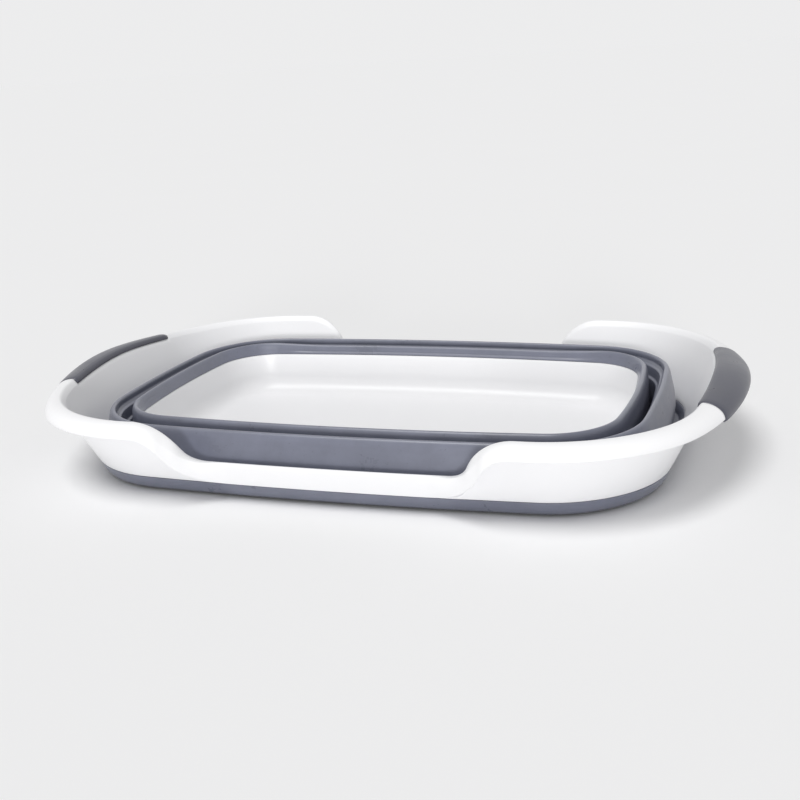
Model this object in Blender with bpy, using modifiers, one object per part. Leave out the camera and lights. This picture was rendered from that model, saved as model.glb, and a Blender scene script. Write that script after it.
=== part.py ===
"""Collapsible wash basin, modelled pushed flat.

A hard rim frame with a rolled lip ends in a soft gutter. Inside it the folding wall rises to an
outer crest, steps down a stiff ledge wall to a lower gutter, and rises again to an inner crest that
carries the tray. Both folds turn inside out when the frame is pulled up. Four pads under the tray
carry everything, so that the gutter hangs just clear of the floor.

Metres, +Z up, X along the length. The origin is the middle of the footprint, on the floor. The
bodies' empties stand at the height of the gutter's underside, and heights count from there.
"""
import math
from collections import namedtuple

import bmesh
import bpy
from mathutils import Vector

# Driving dimensions: the hem, which is the frame's lower outer edge, seen from above
HEM_HALF_LENGTH = 0.2460
HEM_HALF_WIDTH = 0.1583
HEM_CORNER = 0.0913
HEM_SIDE_BOW = 2.60
HEM_END_BOW = 1.60

# The crown of the rim, outside the hem
CROWN_END_OUTSET = 0.0288
CROWN_SIDE_OUTSET = 0.0202
CROWN_CORNER_OUTSET = 0.0223
CROWN_SIDE_BOW = 12.5
CROWN_END_BOW = 0.494

# The lip's lower edge, outside the crown; its ends bow out into handles
LIP_END_OUTSET = 0.0233
LIP_SIDE_OUTSET = 0.0118
LIP_CORNER_OUTSET = 0.0099
LIP_SIDE_BOW = 14.0
LIP_END_BOW = 0.266

# The outer crest, inside the hem, and the inner crest, inside the outer one
OUTER_CREST_END_INSET = 0.0175
OUTER_CREST_SIDE_INSET = 0.0125
OUTER_CREST_CORNER_INSET = 0.0157
OUTER_CREST_SIDE_BOW = 2.17
OUTER_CREST_END_BOW = 1.07
INNER_CREST_END_INSET = 0.0178
INNER_CREST_SIDE_INSET = 0.0191
INNER_CREST_CORNER_INSET = 0.0215
INNER_CREST_SIDE_BOW = 1.83
INNER_CREST_END_BOW = 0.676

# Height of the gutter's underside above the floor, and heights above that underside
STAND_HEIGHT = 0.0024
BAND_HEIGHT = 0.0112
OUTER_CREST_HEIGHT = 0.0513
INNER_CREST_HEIGHT = 0.0525
TRAY_RIM_HEIGHT = 0.0415
RIM_HEIGHT = 0.0664
DIP_HEIGHT = 0.0316

# Gap kept between pieces that touch or are moulded together
CLEARANCE = 0.0003

# Rim frame
FRAME_WALL = 0.0025
LIP_DROP = 0.0116

# Dips in the long sides: the crown and the lip's edge are flat up to their half lengths, then
# rise on a lower and an upper arc. In the dip the lip hangs down as an upright strip.
DIP_HALF_LENGTH = 0.0964
DIP_LOWER_ARC = 0.0187
DIP_UPPER_ARC = 0.0388
LIP_DIP_HALF_LENGTH = 0.0780
LIP_DIP_LOWER_ARC = 0.0532
LIP_DIP_UPPER_ARC = 0.0244
DIP_LIP_RISE = 0.0012
DIP_CROWN_OUTSET = 0.0060
DIP_LIP_OUTSET = 0.0030
DIP_ROUND = 0.0022
DIP_BULGE = 0.0006
DIP_NARROWING_SHARE = 0.339
LIP_DIP_NARROWING_SHARE = 0.306
HANDLE_ARCH = 0.0068
HANDLE_ARCH_REACH = 0.1307
WALL_BOW_SHARE = 0.20
WALL_LEVEL_SHARES = (0.35, 0.70)
DIP_INNER_LEVEL_SHARES = (0.90, 0.60, 0.30)
CROWN_INNER_DROP = 0.0048
CROWN_INNER_WIDTH = 0.0012

# Handle grips, let into the lip
GRIP_WALL = 0.0014
GRIP_RECESS = 0.0014
GRIP_HEM_DROP = 0.0014
GRIP_END_SHARE = 0.920
GRIP_STEP_SHARE = 0.005

# Base band: a gutter from the hem to the foot of the outer fold
BAND_WALL = 0.0026
BAND_FOOT_INSET = 0.0062
BAND_EDGE = 0.0009
BAND_INNER_HEIGHT = 0.0036

# Folding walls
FOLD_WALL = 0.0018
LEDGE_WALL = 0.0022
BEAD_RADIUS = 0.0020
OUTER_FOOT_OUTSET = 0.0042
INNER_FOOT_OUTSET = 0.0033
GUTTER_BOTTOM = 0.0021
GUTTER_RISE = 0.0009
GUTTER_TOP = 0.0050
FOLD_RISE_SHARES = (0.0, 0.33, 0.52, 0.71, 1.0)
OUTER_FOLD_LEAN_SHARES = (1.0, 1.8, 1.6, 1.0, 0.0)
INNER_FOLD_LEAN_SHARES = (1.0, 1.0, 0.83, 0.50, 0.0)

# Ledge wall: two steps going down from the outer crest
LEDGE_LEAN = 0.0011
LEDGE_STEP = 0.0024
LEDGE_STEP_FALL = 0.0015
LEDGE_HEIGHTS = (0.0440, 0.0345)
LEDGE_FOOT_LEAN = 0.0020
LEDGE_FOOT_SHARES = (0.60, 0.50)

# Tray and the collar that holds it
COLLAR_WALL = 0.0022
COLLAR_DEPTH = 0.0098
TRAY_WALL = 0.0022
TRAY_RIM_INSET = 0.0055
TRAY_DRAFT = 0.0030
TRAY_FILLET = 0.0100
TRAY_FLOOR = 0.0055

# Foot pads under the tray, set in from the inner crest
PAD_RADIUS = 0.0140
PAD_EDGE = 0.0006
PAD_END_INSET = 0.0657
PAD_SIDE_INSET = 0.0617

# Mesh steps, and where the stations stand along each stretch of the hem
CORNER_STEPS = 8
LIP_STEPS = 4
TRAY_FILLET_STEPS = 3
PAD_SIDES = 20
BEAD_RESOLUTION = 1
REACH_ROUNDS = 12
SHARP_ANGLE = math.radians(40)
SIDE_SHARES = (0.0, 0.5)
DIP_FLAT_SHARES = (0.0, 0.5, 0.95)
DIP_RISE_SHARES = (0.10, 0.18, 0.25, 0.31, 0.37, 0.44, 0.52, 0.60, 0.68, 0.76, 0.84, 0.92)
END_SHARES = (0.5,)
RIM_END_SHARES = (0.66, 0.33)

QUARTER_TURN = math.pi / 2

# Colours and roughness of the finishes
HARD_WHITE = ((0.86, 0.86, 0.87), 0.22)
SOFT_GREY = ((0.155, 0.165, 0.195), 0.48)
PAD_GREY = ((0.120, 0.125, 0.140), 0.60)

Outline = namedtuple("Outline", "half_length half_width corner side_bow end_bow")
Station = namedtuple("Station", "point normal recessed")


def grown(outline, end, side, corner, side_bow, end_bow):
    """Another outline, that far outside this one at its ends, sides and corners."""
    return Outline(outline.half_length + end, outline.half_width + side,
                   outline.corner + corner, side_bow, end_bow)


HEM = Outline(HEM_HALF_LENGTH, HEM_HALF_WIDTH, HEM_CORNER, HEM_SIDE_BOW, HEM_END_BOW)
CROWN = grown(HEM, CROWN_END_OUTSET, CROWN_SIDE_OUTSET, CROWN_CORNER_OUTSET,
              CROWN_SIDE_BOW, CROWN_END_BOW)
LIP = grown(CROWN, LIP_END_OUTSET, LIP_SIDE_OUTSET, LIP_CORNER_OUTSET,
            LIP_SIDE_BOW, LIP_END_BOW)
OUTER_CREST = grown(HEM, -OUTER_CREST_END_INSET, -OUTER_CREST_SIDE_INSET,
                    -OUTER_CREST_CORNER_INSET, OUTER_CREST_SIDE_BOW, OUTER_CREST_END_BOW)
INNER_CREST = grown(OUTER_CREST, -INNER_CREST_END_INSET, -INNER_CREST_SIDE_INSET,
                    -INNER_CREST_CORNER_INSET, INNER_CREST_SIDE_BOW, INNER_CREST_END_BOW)

FRAME_FOOT = BAND_HEIGHT + CLEARANCE
LIP_HEIGHT = RIM_HEIGHT - LIP_DROP
DIP_LIP_HEIGHT = FRAME_FOOT + DIP_LIP_RISE


def arc_centres(outline):
    """Centres of the side arc, the corner arc and the end arc of the first quarter."""
    side = Vector((0.0, outline.half_width - outline.side_bow))
    end = Vector((outline.half_length - outline.end_bow, 0.0))
    to_corner = outline.side_bow - outline.corner
    from_end = outline.end_bow - outline.corner
    apart = (end - side).length
    along = (to_corner ** 2 - from_end ** 2 + apart ** 2) / (2 * apart)
    height = math.sqrt(max(to_corner ** 2 - along ** 2, 0.0))
    line = (end - side).normalized()
    across = Vector((line.y, -line.x))
    corner = side + line * along + across * height
    return side, corner, end


def corner_turns(outline):
    """Directions in which the corner arc meets the side arc and the end arc."""
    side, corner, end = arc_centres(outline)
    side_turn = math.atan2(corner.y - side.y, corner.x - side.x)
    end_turn = math.atan2(corner.y - end.y, corner.x - end.x)
    return side_turn, end_turn


def signed_distance(outline, point):
    """How far a point lies outside the outline (negative inside)."""
    here = Vector((abs(point.x), abs(point.y)))
    side, corner, end = arc_centres(outline)
    side_turn, end_turn = corner_turns(outline)
    turn = math.atan2(here.y - corner.y, here.x - corner.x)
    if turn > side_turn:
        return (here - side).length - outline.side_bow
    if turn < end_turn:
        return (here - end).length - outline.end_bow
    return (here - corner).length - outline.corner


def reach(outline, station):
    """Distance from the hem to another outline, along the station's normal."""
    along = 0.0
    for _ in range(REACH_ROUNDS):
        along -= signed_distance(outline, station.point + station.normal * along)
    return along


def arc_station(centre, radius, turn, recessed=False):
    normal = Vector((math.cos(turn), math.sin(turn)))
    return Station(centre + normal * radius, normal, recessed)


def side_length():
    """Length of the hem's side from its middle to where the corner begins, along X."""
    return HEM.side_bow * math.cos(corner_turns(HEM)[0])


def quarter(side_places, corner_marks, end_shares):
    """Stations of the hem's first quarter, from the side's middle to the end's middle."""
    side, corner, end = arc_centres(HEM)
    side_turn, end_turn = corner_turns(HEM)
    found = []
    for place in side_places:
        found.append(arc_station(side, HEM.side_bow, math.acos(place / HEM.side_bow)))
    for share, recessed in corner_marks:
        turn = side_turn + (end_turn - side_turn) * share
        found.append(arc_station(corner, HEM.corner, turn, recessed))
    for share in end_shares:
        found.append(arc_station(end, HEM.end_bow, end_turn * share, True))
    found.append(arc_station(end, HEM.end_bow, 0.0, True))
    return found


def whole_round(first):
    """Mirror a quarter's stations into a closed round, without repeating the middles."""
    def flipped(station, x, y):
        return Station(Vector((station.point.x * x, station.point.y * y)),
                       Vector((station.normal.x * x, station.normal.y * y)), station.recessed)

    half = first + [flipped(station, 1, -1) for station in reversed(first[:-1])]
    return half + [flipped(station, -1, 1) for station in reversed(half[1:-1])]


def corner_shares():
    return [step / CORNER_STEPS for step in range(CORNER_STEPS + 1)]


def ring_stations():
    places = [share * side_length() for share in SIDE_SHARES]
    marks = [(share, share > GRIP_END_SHARE) for share in corner_shares()]
    return whole_round(quarter(places, marks, END_SHARES))


def rim_stations():
    """More stations than the rings have: along the dips, and a step where each grip ends."""
    places = [share * LIP_DIP_HALF_LENGTH for share in DIP_FLAT_SHARES]
    places += [mix(LIP_DIP_HALF_LENGTH, side_length(), share) for share in DIP_RISE_SHARES]
    marks = [(share, share > GRIP_END_SHARE) for share in corner_shares() + [GRIP_END_SHARE]]
    marks.append((GRIP_END_SHARE + GRIP_STEP_SHARE, True))
    return whole_round(quarter(places, sorted(marks), RIM_END_SHARES))


def smooth(share):
    share = min(max(share, 0.0), 1.0)
    return share * share * (3 - 2 * share)


def mix(low, high, share):
    return low + (high - low) * share


def risen(run, start, lower, upper, rise):
    """How far an edge has risen at a run along the side: up one arc, then over another."""
    turn = math.acos(1 - rise / (lower + upper))
    middle = start + lower * math.sin(turn)
    end = middle + upper * math.sin(turn)
    if run < start:
        return 0.0
    if run < middle:
        return lower - math.sqrt(lower ** 2 - (run - start) ** 2)
    if run < end:
        return rise - upper + math.sqrt(upper ** 2 - (end - run) ** 2)
    return rise


def flared(share, narrowing):
    """A share that leaves 0 sooner, as the rim flares out before it rises."""
    return share / mix(narrowing, 1.0, share)


def handle_rise(station, outset):
    """How far the rim arches up here, over the handle at each end."""
    place = station.point + station.normal * outset
    if abs(place.x) < side_length():
        return 0.0
    return HANDLE_ARCH * smooth(1 - abs(place.y) / HANDLE_ARCH_REACH)


class RimShape:
    """The frame's heights and distances from the hem at one station."""

    def __init__(self, station):
        self.crown = reach(CROWN, station)
        self.lip = reach(LIP, station)
        self.full = RIM_HEIGHT + handle_rise(station, self.crown)
        self.lip_height = LIP_HEIGHT + handle_rise(station, self.lip)
        run = abs(station.point.x)
        rise = RIM_HEIGHT - DIP_HEIGHT
        lip_rise = LIP_HEIGHT - DIP_LIP_HEIGHT
        self.share = risen(run, DIP_HALF_LENGTH, DIP_LOWER_ARC, DIP_UPPER_ARC, rise) / rise
        self.lip_share = risen(run, LIP_DIP_HALF_LENGTH, LIP_DIP_LOWER_ARC,
                               LIP_DIP_UPPER_ARC, lip_rise) / lip_rise
        self.flare = flared(self.share, DIP_NARROWING_SHARE)
        self.lip_flare = flared(self.lip_share, LIP_DIP_NARROWING_SHARE)

    def lean(self, height):
        """Distance of the wall's outer face from the hem at a height."""
        share = (height - FRAME_FOOT) / (self.full - FRAME_FOOT)
        return self.crown * (share + WALL_BOW_SHARE * share * (1 - share))

    def roll(self, wide, drop, skin=0.0):
        """The lip's roll from its crown to its edge, a quarter of an ellipse."""
        points = []
        for step in range(LIP_STEPS + 1):
            turn = QUARTER_TURN * (1 - step / LIP_STEPS)
            points.append((self.crown + (wide + skin) * math.cos(turn),
                           self.lip_height + (drop + skin) * math.sin(turn)))
        return points

    def full_section(self, recess):
        """Outline where the lip is whole, as (distance, height), from the outer foot round."""
        top = self.full - recess
        wide = self.lip - recess - self.crown
        drop = top - self.lip_height
        channel_top = top - 2 * FRAME_WALL
        levels = [mix(FRAME_FOOT, channel_top, share) for share in WALL_LEVEL_SHARES]
        points = [(self.lean(height), height) for height in [FRAME_FOOT, *levels, channel_top]]
        points += self.roll(wide, drop, -FRAME_WALL)
        points += self.roll(wide, drop)[::-1]
        inner_top = self.full - CROWN_INNER_DROP / 4
        inner_foot = self.full - CROWN_INNER_DROP
        step_foot = inner_foot - CLEARANCE
        points.append((self.lean(inner_top) - CROWN_INNER_WIDTH + recess / 2, inner_top - recess))
        points.append((self.lean(inner_foot) - FRAME_WALL + recess, inner_foot))
        for height in [step_foot, *levels[::-1], FRAME_FOOT]:
            points.append((self.lean(height) - FRAME_WALL, height))
        return points

    def dip_face(self):
        """The strip's outer face where the rim is low, from the lip's edge to the crown."""
        shoulder = DIP_HEIGHT - DIP_ROUND
        points = []
        for step in range(LIP_STEPS + 1):
            share = 2 * step / LIP_STEPS
            turn = QUARTER_TURN * (share - 1)
            if share < 1:
                bulge = DIP_BULGE * math.sin(math.pi * share)
                points.append((mix(DIP_LIP_OUTSET, DIP_CROWN_OUTSET + DIP_ROUND, share) + bulge,
                               mix(DIP_LIP_HEIGHT, shoulder, share)))
            else:
                points.append((DIP_CROWN_OUTSET + DIP_ROUND * math.cos(turn),
                               shoulder + DIP_ROUND * math.sin(turn)))
        return points

    def dip_section(self):
        """The full section's points, where the rim is low."""
        low = DIP_LIP_HEIGHT
        shoulder = DIP_HEIGHT - FRAME_WALL / 2
        points = []
        for share in (0.0, *WALL_LEVEL_SHARES, 1.0):
            height = mix(FRAME_FOOT, low, share)
            points.append((self.lean(height), height))
        for step in range(LIP_STEPS + 1):
            share = (step + 1) / (LIP_STEPS + 2)
            points.append((mix(self.lean(low), DIP_LIP_OUTSET, share), low))
        points += self.dip_face()
        points.append((DIP_CROWN_OUTSET - FRAME_WALL / 2, DIP_HEIGHT - FRAME_WALL / 8))
        points.append((DIP_CROWN_OUTSET - FRAME_WALL, shoulder))
        for share in (*DIP_INNER_LEVEL_SHARES, 0.0):
            points.append((DIP_CROWN_OUTSET * share - FRAME_WALL,
                           mix(FRAME_FOOT, shoulder, share)))
        return points

    def moves(self):
        """How far each point has left the dip, outwards and upwards."""
        wall = [(self.share, self.share)] * (len(WALL_LEVEL_SHARES) + 2)
        roll = []
        for step in range(LIP_STEPS + 1):
            edge = math.cos(QUARTER_TURN * (1 - step / LIP_STEPS))
            roll.append((mix(self.flare, self.lip_flare, edge),
                         mix(self.share, self.lip_share, edge)))
        inner = [(mix(self.share, self.flare, level), self.share)
                 for level in (1.0, 1.0, *DIP_INNER_LEVEL_SHARES, 0.0)]
        return wall + roll + roll[::-1] + inner

    def section(self, recess):
        return [(mix(low[0], full[0], out), mix(low[1], full[1], up))
                for low, full, (out, up) in zip(self.dip_section(), self.full_section(recess),
                                                self.moves())]

    def grip_skin(self, skin, thickness):
        """One face of the grip, from the inner wall over the crown to the lip's edge."""
        inner_foot = self.full - CROWN_INNER_DROP + CLEARANCE
        inner = self.lean(inner_foot) - FRAME_WALL + GRIP_RECESS - CLEARANCE - thickness
        shoulder = self.full + skin - CROWN_INNER_DROP / 4
        path = [(inner, inner_foot), (inner + CROWN_INNER_WIDTH / 2, shoulder)]
        return path + self.roll(self.lip - self.crown, self.full - self.lip_height, skin)

    def grip_section(self):
        """A soft shell round the recessed lip, from the inner wall to under the lip's edge."""
        gap = GRIP_RECESS - CLEARANCE
        under = self.lip_height - CLEARANCE
        hem = under - GRIP_HEM_DROP
        tuck = self.lip - GRIP_RECESS - FRAME_WALL
        outer = self.grip_skin(GRIP_WALL - gap, GRIP_WALL)
        inside = self.grip_skin(-gap, 0.0)
        inside[-1] = (inside[-1][0], under)
        return outer + [(outer[-1][0], hem), (tuck, hem), (tuck, under)] + inside[::-1]


def new_material(name, colour, roughness):
    material = bpy.data.materials.new(name)
    material.use_nodes = True
    shader = material.node_tree.nodes["Principled BSDF"]
    shader.inputs["Base Color"].default_value = (*colour, 1.0)
    shader.inputs["Roughness"].default_value = roughness
    shader.inputs["Metallic"].default_value = 0.0
    return material


def finish_object(thing, body, look):
    """Put a piece in the model's collection, on its moving body, with its own material."""
    thing.data.materials.append(new_material(thing.name + "_finish", *look))
    model.objects.link(thing)
    thing.parent = body


def face_outwards(shape):
    """Turn a closed shape's faces out."""
    bmesh.ops.recalc_face_normals(shape, faces=shape.faces)
    if shape.calc_volume(signed=True) < 0:
        bmesh.ops.reverse_faces(shape, faces=shape.faces)


def mesh_object(name, build, body, look, closed=True):
    """A mesh piece whose faces the build function puts into a bmesh."""
    shape = bmesh.new()
    build(shape)
    if closed:
        face_outwards(shape)
    mesh = bpy.data.meshes.new(name)
    shape.to_mesh(mesh)
    shape.free()
    mesh.shade_smooth()
    mesh.set_sharp_from_angle(angle=SHARP_ANGLE)
    thing = bpy.data.objects.new(name, mesh)
    finish_object(thing, body, look)
    return thing


def at(station, distance, height):
    place = station.point + station.normal * distance
    return (place.x, place.y, height)


def loft(shape, stations, section, closed_section=True, closed_round=True):
    """Join the stations' sections with quads; returns the rows of vertices."""
    rows = [[shape.verts.new(at(station, *point)) for point in section(station)]
            for station in stations]
    count = len(rows[0])
    spans = count if closed_section else count - 1
    pairs = list(zip(rows, rows[1:] + rows[:1]))
    if not closed_round:
        pairs = pairs[:-1]
    for row, following in pairs:
        for i in range(spans):
            j = (i + 1) % count
            shape.faces.new((row[i], row[j], following[j], following[i]))
    return rows


def add_shell(thing, thickness, offset):
    """Make an open surface a shell: offset 0 thickens both sides, -1 only its back."""
    shell = thing.modifiers.new("shell", "SOLIDIFY")
    shell.thickness = thickness
    shell.offset = offset
    shell.use_even_offset = True


def wall_object(name, profile, thickness, body, look):
    """An open lofted surface made a shell of even thickness about it."""
    thing = mesh_object(name, lambda shape: loft(shape, ring_stations(), profile, False),
                        body, look, closed=False)
    add_shell(thing, thickness, 0.0)


def bead_object(name, outline, height, body, look):
    """A round bead along an outline: a closed curve with a round bevel."""
    curve = bpy.data.curves.new(name, "CURVE")
    curve.dimensions = "3D"
    curve.twist_mode = "Z_UP"
    curve.bevel_depth = BEAD_RADIUS
    curve.bevel_resolution = BEAD_RESOLUTION
    stations = ring_stations()
    line = curve.splines.new("POLY")
    line.points.add(len(stations) - 1)
    for point, station in zip(line.points, stations):
        point.co = (*at(station, reach(outline, station), height), 1.0)
    line.use_cyclic_u = True
    finish_object(bpy.data.objects.new(name, curve), body, look)


def under_bead(crest_height):
    """Top of the walls that a crest's bead lies on."""
    return crest_height - 2 * BEAD_RADIUS - CLEARANCE


def fold_profile(outline, foot_outset, foot_height, top_height, lean_shares):
    """Profile of a folding wall, from its foot outside a crest up to the crest's bead."""
    def profile(station):
        crest = reach(outline, station)
        top = crest + FOLD_WALL / 2 + CLEARANCE / 2
        return [(mix(top, crest + foot_outset, lean), mix(foot_height, top_height, rise))
                for rise, lean in zip(FOLD_RISE_SHARES, lean_shares)]
    return profile


def ledge_foot(station):
    """Where the ledge wall's middle stands at its foot."""
    steps = (LEDGE_LEAN + LEDGE_STEP) * len(LEDGE_HEIGHTS)
    return ledge_top(station) - steps - LEDGE_FOOT_LEAN


def ledge_top(station):
    return reach(OUTER_CREST, station) - LEDGE_WALL / 2 - CLEARANCE / 2


def make_rim_frame(body):
    def section(station):
        return RimShape(station).section(GRIP_RECESS if station.recessed else 0.0)

    mesh_object("rim_frame", lambda shape: loft(shape, rim_stations(), section), body, HARD_WHITE)


def make_grip(name, side, body):
    """One handle grip, on the end of the rim that lies towards side (1 right, -1 left)."""
    chosen = [s for s in rim_stations() if s.recessed and s.point.x * side > 0]
    chosen.sort(key=lambda s: s.point.y)

    def build(shape):
        rows = loft(shape, chosen, lambda s: RimShape(s).grip_section(), True, False)
        for row in (rows[0], rows[-1]):
            shape.faces.new(row)

    mesh_object(name, build, body, SOFT_GREY)


def make_base_band(body):
    foot = BAND_FOOT_INSET

    def section(station):
        outer = reach(OUTER_CREST, station) + OUTER_FOOT_OUTSET + FOLD_WALL / 2
        inner = outer - FOLD_WALL
        return [
            (0.0, BAND_HEIGHT),
            (-BAND_EDGE, BAND_HEIGHT - BAND_WALL),
            (-foot / 2, BAND_HEIGHT / 3),
            (-foot + BAND_EDGE, BAND_EDGE),
            (-foot, 0.0),
            (inner + BAND_EDGE, 0.0),
            (inner, BAND_EDGE),
            (inner, BAND_INNER_HEIGHT),
            (outer, BAND_INNER_HEIGHT),
            (outer, BAND_WALL),
            (-foot, BAND_WALL),
            (-foot / 2 - BAND_WALL, BAND_HEIGHT / 2),
            (-BAND_WALL, BAND_HEIGHT),
        ]

    mesh_object("frame_base_band", lambda shape: loft(shape, ring_stations(), section),
                body, SOFT_GREY)


def make_outer_fold(body):
    profile = fold_profile(OUTER_CREST, OUTER_FOOT_OUTSET, BAND_INNER_HEIGHT + CLEARANCE,
                           under_bead(OUTER_CREST_HEIGHT), OUTER_FOLD_LEAN_SHARES)
    wall_object("outer_fold_wall", profile, FOLD_WALL, body, SOFT_GREY)


def make_inner_fold(body):
    profile = fold_profile(INNER_CREST, INNER_FOOT_OUTSET, GUTTER_TOP + CLEARANCE,
                           under_bead(INNER_CREST_HEIGHT), INNER_FOLD_LEAN_SHARES)
    wall_object("inner_fold_wall", profile, FOLD_WALL, body, SOFT_GREY)


def make_ledge_wall(body):
    lean_share, height_share = LEDGE_FOOT_SHARES

    def profile(station):
        distance = ledge_top(station)
        points = [(distance, under_bead(OUTER_CREST_HEIGHT))]
        for height in LEDGE_HEIGHTS:
            distance -= LEDGE_LEAN
            points.append((distance, height))
            distance -= LEDGE_STEP
            points.append((distance, height - LEDGE_STEP_FALL))
        foot = ledge_foot(station)
        points.append((mix(distance, foot, lean_share),
                       mix(LEDGE_HEIGHTS[-1], GUTTER_TOP, height_share)))
        points.append((foot, GUTTER_TOP + CLEARANCE))
        return points

    wall_object("ledge_wall", profile, LEDGE_WALL, body, SOFT_GREY)


def make_lower_gutter(body):
    def profile(station):
        outer = ledge_foot(station)
        inner = reach(INNER_CREST, station) + INNER_FOOT_OUTSET
        return [(outer, GUTTER_TOP), (outer, GUTTER_BOTTOM + GUTTER_RISE),
                ((outer + inner) / 2, GUTTER_BOTTOM),
                (inner, GUTTER_BOTTOM + GUTTER_RISE), (inner, GUTTER_TOP)]

    wall_object("lower_fold_gutter", profile, FOLD_WALL, body, SOFT_GREY)


def make_tray_collar(body):
    top = under_bead(INNER_CREST_HEIGHT)
    seat = TRAY_RIM_HEIGHT + CLEARANCE
    tray_face = TRAY_RIM_INSET - TRAY_WALL - CLEARANCE
    outer_face = tray_face - COLLAR_WALL

    def section(station):
        crest = reach(INNER_CREST, station)
        return [(crest - BEAD_RADIUS + CLEARANCE, top), (crest - TRAY_RIM_INSET, seat),
                (crest - tray_face, seat), (crest - tray_face, seat - COLLAR_DEPTH),
                (crest - outer_face, seat - COLLAR_DEPTH), (crest - CLEARANCE, top)]

    mesh_object("tray_collar", lambda shape: loft(shape, ring_stations(), section), body, SOFT_GREY)


def make_base_tray(body):
    """The tray's inner surface with its floor, made a shell outwards."""
    fillet_height = TRAY_FLOOR + TRAY_FILLET

    def profile(station):
        rim = reach(INNER_CREST, station) - TRAY_RIM_INSET
        fillet_centre = rim - TRAY_DRAFT - TRAY_FILLET
        points = [(rim, TRAY_RIM_HEIGHT),
                  (rim - TRAY_DRAFT / 2, (TRAY_RIM_HEIGHT + fillet_height) / 2)]
        for step in range(TRAY_FILLET_STEPS + 1):
            turn = QUARTER_TURN * step / TRAY_FILLET_STEPS
            points.append((fillet_centre + TRAY_FILLET * math.cos(turn),
                           fillet_height - TRAY_FILLET * math.sin(turn)))
        return points

    def build(shape):
        rows = loft(shape, ring_stations(), profile, False)
        shape.faces.new([row[-1] for row in reversed(rows)])

    thing = mesh_object("base_tray", build, body, HARD_WHITE, closed=False)
    add_shell(thing, TRAY_WALL, -1.0)


def make_foot_pads(body):
    top = TRAY_FLOOR - TRAY_WALL - CLEARANCE
    half_length = INNER_CREST.half_length - PAD_END_INSET
    half_width = INNER_CREST.half_width - PAD_SIDE_INSET
    for row, y in (("front", -half_width), ("rear", half_width)):
        for side, x in (("left", -half_length), ("right", half_length)):
            bpy.ops.mesh.primitive_cylinder_add(vertices=PAD_SIDES, radius=PAD_RADIUS,
                                                depth=top + STAND_HEIGHT,
                                                location=(x, y, (top - STAND_HEIGHT) / 2))
            pad = bpy.context.object
            pad.name = f"foot_pad_{row}_{side}"
            for collection in list(pad.users_collection):
                collection.objects.unlink(pad)
            edge = pad.modifiers.new("edge", "BEVEL")
            edge.width = PAD_EDGE
            edge.segments = 1
            finish_object(pad, body, PAD_GREY)


def make_body(name):
    """An empty that carries the pieces of one moving body."""
    empty = bpy.data.objects.new(name, None)
    empty.location.z = STAND_HEIGHT
    model.objects.link(empty)
    return empty


for old in list(bpy.data.objects):
    bpy.data.objects.remove(old, do_unlink=True)

model = bpy.data.collections.new("collapsible_wash_basin")
bpy.context.scene.collection.children.link(model)

tray = make_body("tray_body")
ring = make_body("fold_ring_body")
rim = make_body("rim_body")

make_base_tray(tray)
make_foot_pads(tray)
make_tray_collar(tray)
bead_object("inner_crest_bead", INNER_CREST, INNER_CREST_HEIGHT - BEAD_RADIUS, tray, SOFT_GREY)
make_inner_fold(ring)
make_lower_gutter(ring)
make_ledge_wall(ring)
bead_object("outer_crest_bead", OUTER_CREST, OUTER_CREST_HEIGHT - BEAD_RADIUS, ring, SOFT_GREY)
make_outer_fold(rim)
make_base_band(rim)
make_rim_frame(rim)
make_grip("left_handle_grip", -1, rim)
make_grip("right_handle_grip", 1, rim)
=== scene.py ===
import math
from collections import namedtuple

import bmesh
import bpy
from bpy.props import FloatProperty, FloatVectorProperty, IntProperty, PointerProperty
from bpy.types import Operator, Panel, PropertyGroup
from mathutils import Matrix, Vector


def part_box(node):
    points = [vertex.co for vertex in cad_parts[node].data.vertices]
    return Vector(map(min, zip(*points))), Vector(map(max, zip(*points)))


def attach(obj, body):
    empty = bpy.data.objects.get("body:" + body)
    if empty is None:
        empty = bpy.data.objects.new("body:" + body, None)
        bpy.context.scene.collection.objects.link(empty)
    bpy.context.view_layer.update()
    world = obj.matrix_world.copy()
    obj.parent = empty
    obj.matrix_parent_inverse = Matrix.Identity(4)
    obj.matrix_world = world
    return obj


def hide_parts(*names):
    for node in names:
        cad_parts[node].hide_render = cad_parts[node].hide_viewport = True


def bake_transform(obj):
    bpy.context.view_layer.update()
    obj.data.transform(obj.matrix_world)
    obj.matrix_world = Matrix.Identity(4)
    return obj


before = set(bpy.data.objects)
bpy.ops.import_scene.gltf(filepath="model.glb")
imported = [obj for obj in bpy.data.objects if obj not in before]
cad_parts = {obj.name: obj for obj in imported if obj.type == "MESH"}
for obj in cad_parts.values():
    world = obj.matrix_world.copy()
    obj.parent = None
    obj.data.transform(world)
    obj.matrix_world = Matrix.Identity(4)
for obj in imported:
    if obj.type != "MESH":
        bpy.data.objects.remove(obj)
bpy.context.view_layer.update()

bl_info = {
    "name": "Collapsible Wash Basin",
    "version": (1, 0, 0),
    "blender": (4, 5, 0),
    "location": "3D View > Sidebar > Wash Basin",
    "description": "Dresses the collapsible wash basin: rim, grips, folding wall, tray and stage",
    "category": "Object",
}

# Outlines seen from above, as half length, half width, corner, side bow and end bow (metres)
Outline = namedtuple("Outline", "half_length half_width corner side_bow end_bow")
Station = namedtuple("Station", "point normal recessed")
# A noise has lumps per metre; a gloss is the least roughness and what a noise adds to it
Noise = namedtuple("Noise", "scale detail roughness", defaults=(0.5,))
Gloss = namedtuple("Gloss", "least added")
Relief = namedtuple("Relief", "strength depth")

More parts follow.
